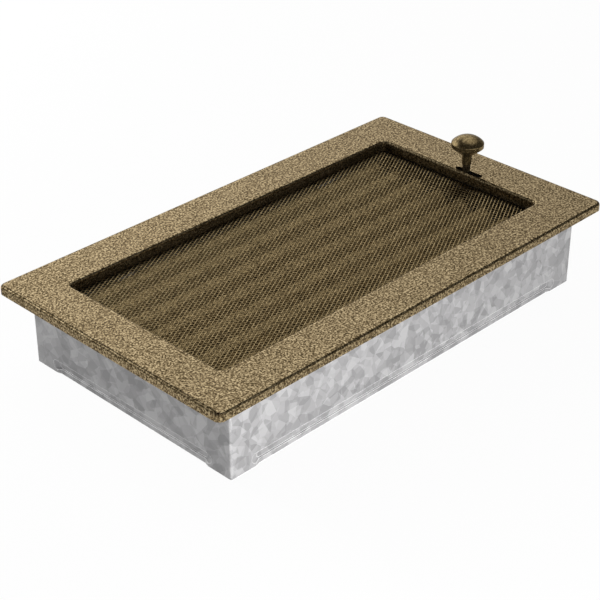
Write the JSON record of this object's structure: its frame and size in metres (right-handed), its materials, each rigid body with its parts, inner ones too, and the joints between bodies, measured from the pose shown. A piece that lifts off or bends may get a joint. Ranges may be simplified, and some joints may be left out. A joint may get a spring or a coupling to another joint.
{
  "type": "fireplace vent grille",
  "caption": "Rectangular warm-air grille with a pressed speckled cover, sunk mesh window, turning slats worked by a knob, and a galvanised mounting frame.",
  "frame": {"origin": "middle of the mounting frame's bottom rim, under the cover's centre", "axes": "+X along the cover towards the knob, +Y across it, +Z out of the cover's face"},
  "size_m": [0.335, 0.19, 0.0817],
  "materials": {
    "cover_coat": "speckled black and gold powder coat",
    "mesh_coat": "dark powder coat",
    "slat_coat": "dark powder coat",
    "lever_coat": "dark powder coat",
    "knob_coat": "speckled black and gold powder coat",
    "frame_zinc": "spangled galvanised sheet",
    "carrier_coat": "dark powder coat",
    "bar_zinc": "galvanised sheet",
    "wire_steel": "drawn wire",
    "rivet_steel": "plain",
    "spring_steel": "spring temper"
  },
  "bodies": {
    "housing": {"front_cover": "cover_coat", "mesh_screen": "mesh_coat", "mesh_rail_front": "carrier_coat", "mesh_rail_back": "carrier_coat", "bearing_plate_left": "carrier_coat", "bearing_plate_right": "carrier_coat", "mounting_frame": "frame_zinc", "frame_rivets": "rivet_steel", "spring_clip_front_left": "spring_steel", "spring_clip_front_right": "spring_steel", "spring_clip_back_left": "spring_steel", "spring_clip_back_right": "spring_steel"},
    "linkage": {"link_bar": "bar_zinc", "lever": "lever_coat", "lever_rivets": "rivet_steel", "knob": "knob_coat"},
    "louvre_4": {"slat_4": "slat_coat", "pivot_wire_4": "wire_steel"},
    "louvre_1": {"slat_1": "slat_coat", "pivot_wire_1": "wire_steel"},
    "louvre_2": {"slat_2": "slat_coat", "pivot_wire_2": "wire_steel"},
    "louvre_3": {"slat_3": "slat_coat", "pivot_wire_3": "wire_steel"},
    "louvre_5": {"slat_5": "slat_coat", "pivot_wire_5": "wire_steel"},
    "louvre_6": {"slat_6": "slat_coat", "pivot_wire_6": "wire_steel"},
    "louvre_7": {"slat_7": "slat_coat", "pivot_wire_7": "wire_steel"}
  },
  "joints": [
    {"name": "louvre_4_turn", "type": "hinge", "parent": "housing", "child": "louvre_4", "pos_m": [0, 0, 0.0359], "axis": [1, 0, 0], "range_deg": [-37, 18]},
    {"name": "louvre_1_turn", "type": "hinge", "parent": "housing", "child": "louvre_1", "pos_m": [0, -0.057, 0.0359], "axis": [1, 0, 0], "range_deg": [-37, 18]},
    {"name": "louvre_2_turn", "type": "hinge", "parent": "housing", "child": "louvre_2", "pos_m": [0, -0.038, 0.0359], "axis": [1, 0, 0], "range_deg": [-37, 18]},
    {"name": "louvre_3_turn", "type": "hinge", "parent": "housing", "child": "louvre_3", "pos_m": [0, -0.019, 0.0359], "axis": [1, 0, 0], "range_deg": [-37, 18]},
    {"name": "louvre_5_turn", "type": "hinge", "parent": "housing", "child": "louvre_5", "pos_m": [0, 0.019, 0.0359], "axis": [1, 0, 0], "range_deg": [-37, 18]},
    {"name": "louvre_6_turn", "type": "hinge", "parent": "housing", "child": "louvre_6", "pos_m": [0, 0.038, 0.0359], "axis": [1, 0, 0], "range_deg": [-37, 18]},
    {"name": "louvre_7_turn", "type": "hinge", "parent": "housing", "child": "louvre_7", "pos_m": [0, 0.057, 0.0359], "axis": [1, 0, 0], "range_deg": [-37, 18]},
    {"name": "link_bar_pin", "type": "hinge", "parent": "louvre_4", "child": "linkage", "pos_m": [0.1374, 0, 0.0199], "axis": [1, 0, 0], "range_deg": [-18, 37]}
  ],
  "couplings": [
    {"joint": "louvre_1_turn", "follows": "louvre_4_turn", "ratio": 1},
    {"joint": "louvre_2_turn", "follows": "louvre_4_turn", "ratio": 1},
    {"joint": "louvre_3_turn", "follows": "louvre_4_turn", "ratio": 1},
    {"joint": "louvre_5_turn", "follows": "louvre_4_turn", "ratio": 1},
    {"joint": "louvre_6_turn", "follows": "louvre_4_turn", "ratio": 1},
    {"joint": "louvre_7_turn", "follows": "louvre_4_turn", "ratio": 1},
    {"joint": "link_bar_pin", "follows": "louvre_4_turn", "ratio": -1}
  ]
}
